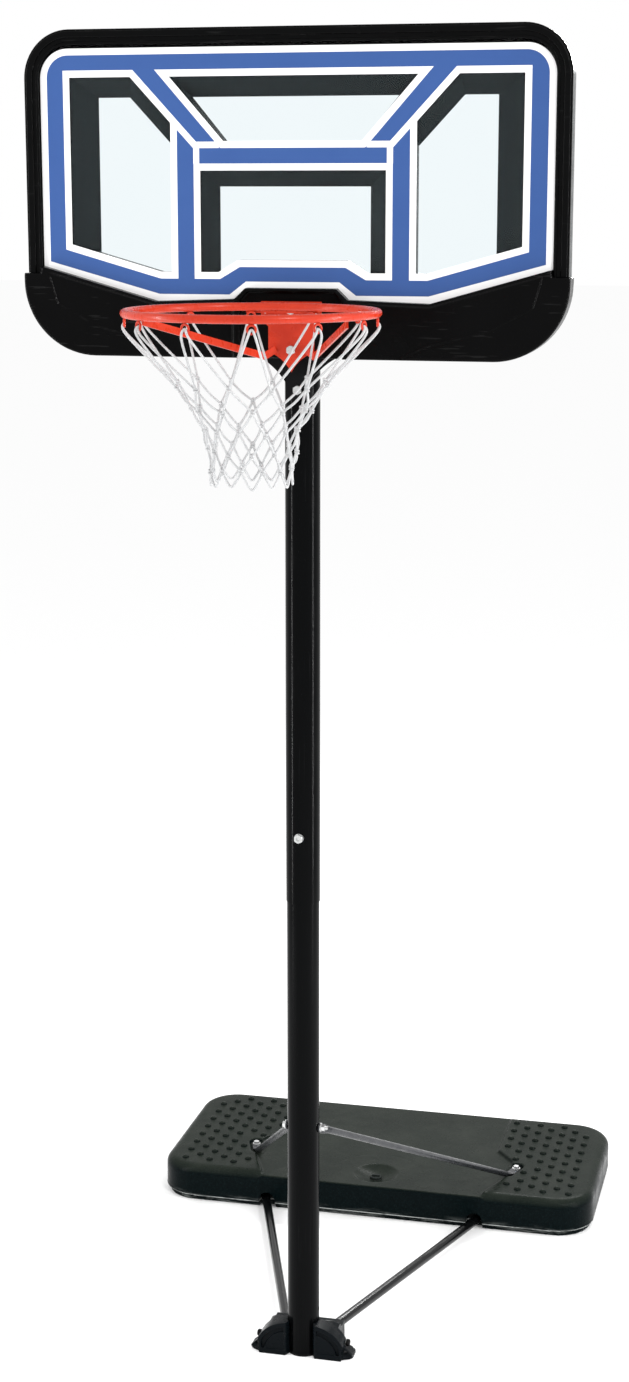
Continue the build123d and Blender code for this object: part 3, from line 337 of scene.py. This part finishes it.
def printed_ink(name, color, dark):
    """Screen print: even colour with a trace of mottle and rubbing from the ball."""
    g = Graph(name, color, 0.35, coat=0.05, specular=0.2)
    g.tint(g.ramp(g.noise(12.0, 5, 0.6), 0.45, 0.75, 0, 0.35), dark)
    rub = g.ramp(g.noise(300.0, 4, 0.7), 0.7, 0.78, 0, 0.35)
    g.tint(rub, tuple(min(1.0, 0.5 * c + 0.3) for c in color))
    g.roughness(g.ramp(g.noise(30.0, 4), 0.3, 0.7, 0.28, 0.45))
    g.bump(g.noise(700.0, 2), 0.00004, 0.5)
    return g


def net_cord():
    """Braided white nylon: two crossing sets of plies wound round the cord."""
    g = Graph("net_cord", (0.72, 0.725, 0.73), 0.75, specular=0.1)
    uv = g.node("ShaderNodeTexCoord").outputs["UV"]
    plies = []
    for slope in (1.0, -1.0):
        mapping = g.node("ShaderNodeMapping")
        mapping.inputs["Rotation"].default_value = (0, 0, slope * math.radians(38))
        g.link(uv, mapping.inputs["Vector"])
        wave = g.node("ShaderNodeTexWave")
        wave.inputs["Scale"].default_value = 1.6
        wave.inputs["Distortion"].default_value = 0.4
        g.link(mapping.outputs["Vector"], wave.inputs["Vector"])
        plies.append(wave.outputs["Fac"])
    braid = g.multiply(plies[0], plies[1])
    # painted shade: the cord is darkened in the grooves between the plies
    g.tint(g.ramp(braid, 0.0, 0.35, 0.55, 0.0), (0.4, 0.41, 0.42))
    g.tint(g.ramp(g.noise(40.0, 4), 0.45, 0.7, 0, 0.3), (0.6, 0.605, 0.61))
    g.bump(braid, 0.0005, 0.8)
    g.bump(g.noise(2500.0, 3), 0.0002, 0.5)
    return g


def brass():
    """Turned brass, slightly dulled."""
    g = Graph("brass_insert", (0.62, 0.42, 0.16), 0.3, metallic=1.0)
    g.tint(g.ramp(g.noise(200.0, 3), 0.45, 0.7, 0, 0.4), (0.4, 0.26, 0.1))
    g.roughness(g.ramp(g.noise(300.0, 3), 0.3, 0.7, 0.22, 0.42))
    return g


def rubber():
    """Soft black rubber with a fine grain."""
    g = Graph("seal_rubber", (0.02, 0.02, 0.02), 0.75, specular=0.3)
    g.tint(g.ramp(g.noise(90.0, 4), 0.45, 0.7, 0, 0.5), (0.045, 0.045, 0.043))
    g.bump(g.noise(1200.0, 2), 0.0001, 0.6)
    return g


GRAPHS = {
    "tank_plastic": tank_plastic(),
    "cap_plastic": black_plastic("cap_plastic", (0.012, 0.015, 0.014), 0.45),
    "seal_rubber": rubber(),
    "pole_paint": gloss_black("pole_paint"),
    "strut_paint": gloss_black("strut_paint", rough=0.14, specular=0.3),
    "bracket_paint": gloss_black("bracket_paint", (0.006, 0.006, 0.0065), 0.34),
    "brace_paint": brace_paint(),
    "fitting_plastic": black_plastic("fitting_plastic", (0.006, 0.006, 0.006), 0.42),
    "foot_plastic": black_plastic("foot_plastic", (0.0022, 0.0034, 0.0044), 0.26, 900.0),
    "wheel_plastic": black_plastic("wheel_plastic", (0.009, 0.009, 0.009), 0.5),
    "frame_plastic": frame_plastic(),
    "pad_plastic": black_plastic("pad_plastic", (0.0014, 0.0014, 0.0015), 0.2, 800.0),
    "clear_sheet": clear_sheet(),
    "white_ink": printed_ink("white_ink", (0.88, 0.88, 0.88), (0.8, 0.81, 0.82)),
    "blue_ink": printed_ink("blue_ink", (0.035, 0.088, 0.27), (0.03, 0.076, 0.25)),
    "zinc_steel": zinc_steel(),
    "brass_insert": brass(),
    "rim_paint": rim_paint(),
    "net_cord": net_cord(),
}
MATERIALS = {slot: graph.material for slot, graph in GRAPHS.items()}


def paint_cad_nodes():
    """Give every CAD node the finished material of its slot."""
    for part in frame["record"]["subparts"]:
        mesh = nodes[part["node"]].data
        mesh.materials.clear()
        mesh.materials.append(MATERIALS[part["material_slot"]])


# ---------------------------------------------------------------- mesh kit
def new_piece(name, mesh_builder, body, slot, replaces=(), smooth_angle=35.0):
    """Link a bmesh as a shown piece, ride it on its body and give it its material."""
    mesh = bpy.data.meshes.new(name)
    mesh_builder.to_mesh(mesh)
    mesh_builder.free()
    return finish_piece(name, mesh, body, slot, replaces, smooth_angle)


def finish_piece(name, mesh, body, slot, replaces=(), smooth_angle=35.0):
    """Show a finished mesh as a piece that rides on its body, in place of CAD nodes."""
    piece = bpy.data.objects.new(name, mesh)
    bpy.context.scene.collection.objects.link(piece)
    mesh.materials.clear()
    mesh.materials.append(MATERIALS[slot])
    mesh.shade_smooth()
    mesh.set_sharp_from_angle(angle=math.radians(smooth_angle))
    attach(piece, body)
    if replaces:
        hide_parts(*replaces)
    return piece


def spline_points(points, per_span=6):
    """Catmull-Rom curve through the given points."""
    samples = []
    last = len(points) - 1
    for i in range(last):
        before = points[max(i - 1, 0)]
        after = points[min(i + 2, last)]
        a, b = points[i], points[i + 1]
        for step in range(per_span):
            t = step / per_span
            rise = (b - before) * t
            bend = (2 * before - 5 * a + 4 * b - after) * t * t
            twist = (3 * a - before - 3 * b + after) * t ** 3
            samples.append(0.5 * (2 * a + rise + bend + twist))
    samples.append(points[last])
    return samples


def add_tube(bm, points, radius, sides=8):
    """Sweep a round section along points, with u round it and v along it in radii."""
    uv = bm.loops.layers.uv.verify()
    last = len(points) - 1
    normal = None
    rings = []
    lengths = []
    travelled = 0.0
    for i, point in enumerate(points):
        tangent = points[min(i + 1, last)] - points[max(i - 1, 0)]
        tangent.normalize()
        if normal is None:
            normal = tangent.orthogonal().normalized()
        normal = (normal - tangent * normal.dot(tangent)).normalized()
        side = tangent.cross(normal)
        ring = []
        for k in range(sides):
            angle = 2 * math.pi * k / sides
            out = normal * math.cos(angle) + side * math.sin(angle)
            ring.append(bm.verts.new(point + out * radius))
        rings.append(ring)
        if i:
            travelled += (point - points[i - 1]).length
        lengths.append(travelled / radius)
    turn = 2 * math.pi / sides
    for i in range(last):
        first, second = rings[i], rings[i + 1]
        for k in range(sides):
            m = (k + 1) % sides
            face = bm.faces.new((first[k], first[m], second[m], second[k]))
            corners = ((k, i), (k + 1, i), (k + 1, i + 1), (k, i + 1))
            for loop, (u, v) in zip(face.loops, corners):
                loop[uv].uv = (u * turn, lengths[v])
    bm.faces.new(list(reversed(rings[0])))
    bm.faces.new(rings[-1])


def remeshed(node, voxel, smooth, extra=None):
    """A moulded copy of a CAD node: its form in small cells, with softened edges."""
    mesh = nodes[node].data.copy()
    work = bpy.data.objects.new(node + "_work", mesh)
    bpy.context.scene.collection.objects.link(work)
    if extra:
        bm = bmesh.new()
        bm.from_mesh(mesh)
        extra(bm)
        bm.to_mesh(mesh)
        bm.free()
    remesh = work.modifiers.new("remesh", "REMESH")
    remesh.mode = "VOXEL"
    remesh.voxel_size = voxel
    remesh.adaptivity = 0.0
    soften = work.modifiers.new("soften", "SMOOTH")
    soften.factor = 0.5
    soften.iterations = smooth
    evaluated = work.evaluated_get(bpy.context.evaluated_depsgraph_get())
    result = bpy.data.meshes.new_from_object(evaluated)
    bpy.data.objects.remove(work)
    return result


# ---------------------------------------------------------------- net
NET_ROWS = [  # height below the ring centre, radius
    (0.134, 0.148), (0.178, 0.113), (0.217, 0.091), (0.256, 0.082), (0.293, 0.079),
]
NET_BOTTOM = 0.321
NET_CORD_R = 0.0024
HOOKS = 12
HOOK_FIRST = math.radians(15)
HOOK_STEP = 2 * math.pi / HOOKS
HOOK_DROP = RING_ROD_R + 0.0145    # inside of a hook's bend, below the ring centre
LOOP_RISE = 0.004                  # of the cord where it passes over the hook
LOOP_FALL = 0.012                  # down to where its two legs are widest apart
LOOP_HALF = 0.008
LEG_SAG = 0.002
KNOT_R = 0.0031
KNOT_TOP = 0.0045
KNOT_DROP = 0.00056                # each step of a knot's coil
KNOT_TURN = 0.75
KNOT_STEPS = 17


def on_net(angle, radius, drop):
    """Point on the net: angle from straight out towards the player, drop below the ring."""
    return RING_CENTRE + Vector((math.sin(angle) * radius, -math.cos(angle) * radius, -drop))


def away_from_axis(point):
    """Level unit vector from the ring's axis through a point."""
    return Vector((point.x - RING_CENTRE.x, point.y - RING_CENTRE.y, 0)).normalized()


def net_knots(chance):
    """Rows of knots, each row half a step round from the one above, a little uneven."""
    rows = []
    for row, (drop, radius) in enumerate(NET_ROWS):
        offset = HOOK_STEP / 2 if row % 2 == 0 else 0.0
        ring = []
        for i in range(HOOKS):
            angle = HOOK_FIRST + offset + i * HOOK_STEP + chance.uniform(-0.035, 0.035)
            wide = radius + chance.uniform(-0.004, 0.004)
            low = drop + chance.uniform(-0.005, 0.005)
            ring.append(on_net(angle, wide, low))
        rows.append(ring)
    return rows


def add_hook_loops(bm, knots):
    """One cord over each hook, down to the knot on either side of it."""
    sag = Vector((0, 0, LEG_SAG))
    for i in range(HOOKS):
        angle = HOOK_FIRST + i * HOOK_STEP
        along = Vector((math.cos(angle), math.sin(angle), 0)) * LOOP_HALF
        over = on_net(angle, RING_R, HOOK_DROP - LOOP_RISE)
        below = on_net(angle, RING_R, HOOK_DROP + LOOP_FALL)
        left, right = below - along, below + along
        low_left = left.lerp(knots[i - 1], 0.5) - sag
        low_right = right.lerp(knots[i], 0.5) - sag
        path = [knots[i - 1], low_left, left, over, right, low_right, knots[i]]
        add_tube(bm, spline_points(path), NET_CORD_R)


def add_diamonds(bm, rows, chance):
    """Cords between one row of knots and the next, slack enough to belly a little."""
    for row in range(len(rows) - 1):
        step = 1 if row % 2 == 0 else -1
        for i in range(HOOKS):
            for other in (i, (i + step) % HOOKS):
                a, b = rows[row][i], rows[row + 1][other]
                sag = chance.uniform(0.001, 0.004)
                lean = chance.uniform(-0.003, 0.004)
                middle = (a + b) / 2
                middle = middle - Vector((0, 0, sag)) + away_from_axis(middle) * lean
                add_tube(bm, spline_points([a, middle, b]), NET_CORD_R)


def add_bottom_loops(bm, knots, chance):
    """Rounded loops that hang from the last row of knots."""
    for i in range(HOOKS):
        a, b = knots[i], knots[(i + 1) % HOOKS]
        middle = (a + b) / 2
        height = RING_CENTRE.z - NET_BOTTOM + chance.uniform(-0.003, 0.004)
        low = Vector((middle.x, middle.y, height)) + away_from_axis(middle) * 0.002
        bulge = (a - b) * 0.06
        path = [a, a.lerp(low, 0.55) + bulge, low, b.lerp(low, 0.55) - bulge, b]
        add_tube(bm, spline_points(path), NET_CORD_R)


def add_knots(bm, rows, chance):
    """A small coil of cord at every crossing."""
    for ring in rows:
        for knot in ring:
            spin = chance.uniform(0, math.pi)
            coil = []
            for k in range(KNOT_STEPS):
                angle = spin + k * KNOT_TURN
                height = KNOT_TOP - k * KNOT_DROP
                coil.append(knot + Vector((math.cos(angle) * KNOT_R, math.sin(angle) * KNOT_R, height)))
            add_tube(bm, coil, NET_CORD_R * 0.95)


def make_net():
    chance = random.Random(7)
    bm = bmesh.new()
    rows = net_knots(chance)
    add_hook_loops(bm, rows[0])
    add_diamonds(bm, rows, chance)
    add_bottom_loops(bm, rows[-1], chance)
    add_knots(bm, rows, chance)
    new_piece("cord_net", bm, "mast", "net_cord", replaces=["net"], smooth_angle=80)


# ---------------------------------------------------------------- tank, feet and pad
TANK_CELL = 0.003
FOOT_CELL = 0.0012
PAD_CELL = 0.002
TANK_CORNER = 0.095
STUD_R = 0.0088
STUD_H = 0.0068
STUD_SUNK = 0.003
STUD_PITCH_X = 0.032
STUD_PITCH_Y = 0.0524
STUD_OUTER_X = 0.496
STUD_START = 0.026                 # first row behind the front of the tank
STUD_EDGE = 0.038                  # kept clear inside the tank's outline
STUD_COLUMNS = 7
STUD_ROWS = 10
DOME_RINGS = 4
DOME_SIDES = 16
SEAT_CLEAR = 0.03                  # round each brace bolt
HALF_BOLT_HEAD = 0.0075
DECK_CLEAR = 0.012
DECK_EDGE = [  # where the low middle of the top ends: y beyond the pole, x
    (0.655, 0.286), (0.723, 0.286), (0.82, 0.326), (0.87, 0.34),
    (0.92, 0.33), (0.98, 0.284), (1.3, 0.284),
]
PLUG_R = 0.0135
PLUG_H = 0.008
PLUG_BELOW_CAP = 0.006


def in_rounded_plan(x, y, margin):
    """Whether a point lies inside the tank's rounded outline by a margin."""
    half_x = tank_high.x - margin
    half_y = (tank_high.y - tank_low.y) / 2 - margin
    dx = abs(x)
    dy = abs(y - (tank_high.y + tank_low.y) / 2)
    r = TANK_CORNER - margin
    if dx > half_x or dy > half_y:
        return False
    if dx > half_x - r and dy > half_y - r:
        return math.hypot(dx - half_x + r, dy - half_y + r) < r
    return True


def deck_edge(y):
    """Half the width of the low middle of the tank's top at a given y."""
    beyond = y - POLE_Y
    for (y_a, x_a), (y_b, x_b) in zip(DECK_EDGE, DECK_EDGE[1:]):
        if beyond <= y_b:
            return x_a + (x_b - x_a) * max(0.0, beyond - y_a) / (y_b - y_a)
    return DECK_EDGE[-1][1]


def stud_places():
    """Staggered rows of grip studs on the two raised ends of the tank."""
    bolt_low, bolt_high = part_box("brace_tank_bolts")
    seat_x = bolt_high.x - HALF_BOLT_HEAD
    seat_y = (bolt_low.y + bolt_high.y) / 2
    places = []
    for side in (-1, 1):
        for column in range(STUD_COLUMNS):
            x = STUD_OUTER_X - column * STUD_PITCH_X
            first = tank_low.y + STUD_START + (STUD_PITCH_Y / 2 if column % 2 == 0 else 0)
            for row in range(STUD_ROWS):
                y = first + row * STUD_PITCH_Y
                on_low_deck = x < deck_edge(y) + DECK_CLEAR
                at_seat = math.hypot(x - seat_x, y - seat_y) < SEAT_CLEAR
                if in_rounded_plan(x, y, STUD_EDGE) and not on_low_deck and not at_seat:
                    places.append((side * x, y))
    return places


def add_dome(bm, x, y, z, radius, rise):
    """Low round dome whose skirt is sunk below the surface."""
    loops = []
    for k in range(DOME_RINGS):
        up = math.pi / 2 * k / DOME_RINGS
        loop = []
        for s in range(DOME_SIDES):
            turn = 2 * math.pi * s / DOME_SIDES
            place = (x + radius * math.cos(up) * math.cos(turn),
                     y + radius * math.cos(up) * math.sin(turn),
                     z + rise * math.sin(up))
            loop.append(bm.verts.new(place))
        loops.append(loop)
    skirt = [bm.verts.new((v.co.x, v.co.y, z - STUD_SUNK)) for v in loops[0]]
    top_dust_and_light = bm.verts.new((x, y, z + rise))
    layers = [skirt] + loops
    for low, high in zip(layers, layers[1:]):
        for s in range(DOME_SIDES):
            n = (s + 1) % DOME_SIDES
            bm.faces.new((low[s], low[n], high[n], high[s]))
    for s in range(DOME_SIDES):
        bm.faces.new((loops[-1][s], loops[-1][(s + 1) % DOME_SIDES], top_dust_and_light))
    bm.faces.new(list(reversed(skirt)))


def add_neck_plug(bm):
    """Disc that shuts the filler neck under the cap, so that the remesh keeps to the outside."""
    cap_low, cap_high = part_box("fill_cap")
    centre = (cap_low + cap_high) / 2
    place = Matrix.Translation((centre.x, centre.y, cap_low.z - PLUG_BELOW_CAP))
    bmesh.ops.create_cone(bm, cap_ends=True, segments=24, radius1=PLUG_R, radius2=PLUG_R,
                          depth=PLUG_H, matrix=place)


def make_tank():
    mesh = remeshed("base_tank", TANK_CELL, smooth=3, extra=add_neck_plug)
    bm = bmesh.new()
    bm.from_mesh(mesh)
    for x, y in stud_places():
        add_dome(bm, x, y, tank_high.z - 0.0002, STUD_R, STUD_H)
    bm.to_mesh(mesh)
    bm.free()
    finish_piece("moulded_tank", mesh, "base", "tank_plastic", replaces=["base_tank"], smooth_angle=180)


def make_feet():
    for side in ("left", "right"):
        node = "foot_" + side
        mesh = remeshed(node, FOOT_CELL, smooth=3)
        finish_piece("moulded_" + node, mesh, "base", "foot_plastic", replaces=[node], smooth_angle=180)


def make_pad():
    mesh = remeshed("lower_pad", PAD_CELL, smooth=5)
    finish_piece("moulded_pad", mesh, "mast", "pad_plastic", replaces=["lower_pad"], smooth_angle=180)


# ---------------------------------------------------------------- build
make_camera()
make_studio()
paint_cad_nodes()
make_net()
make_tank()
make_feet()
make_pad()
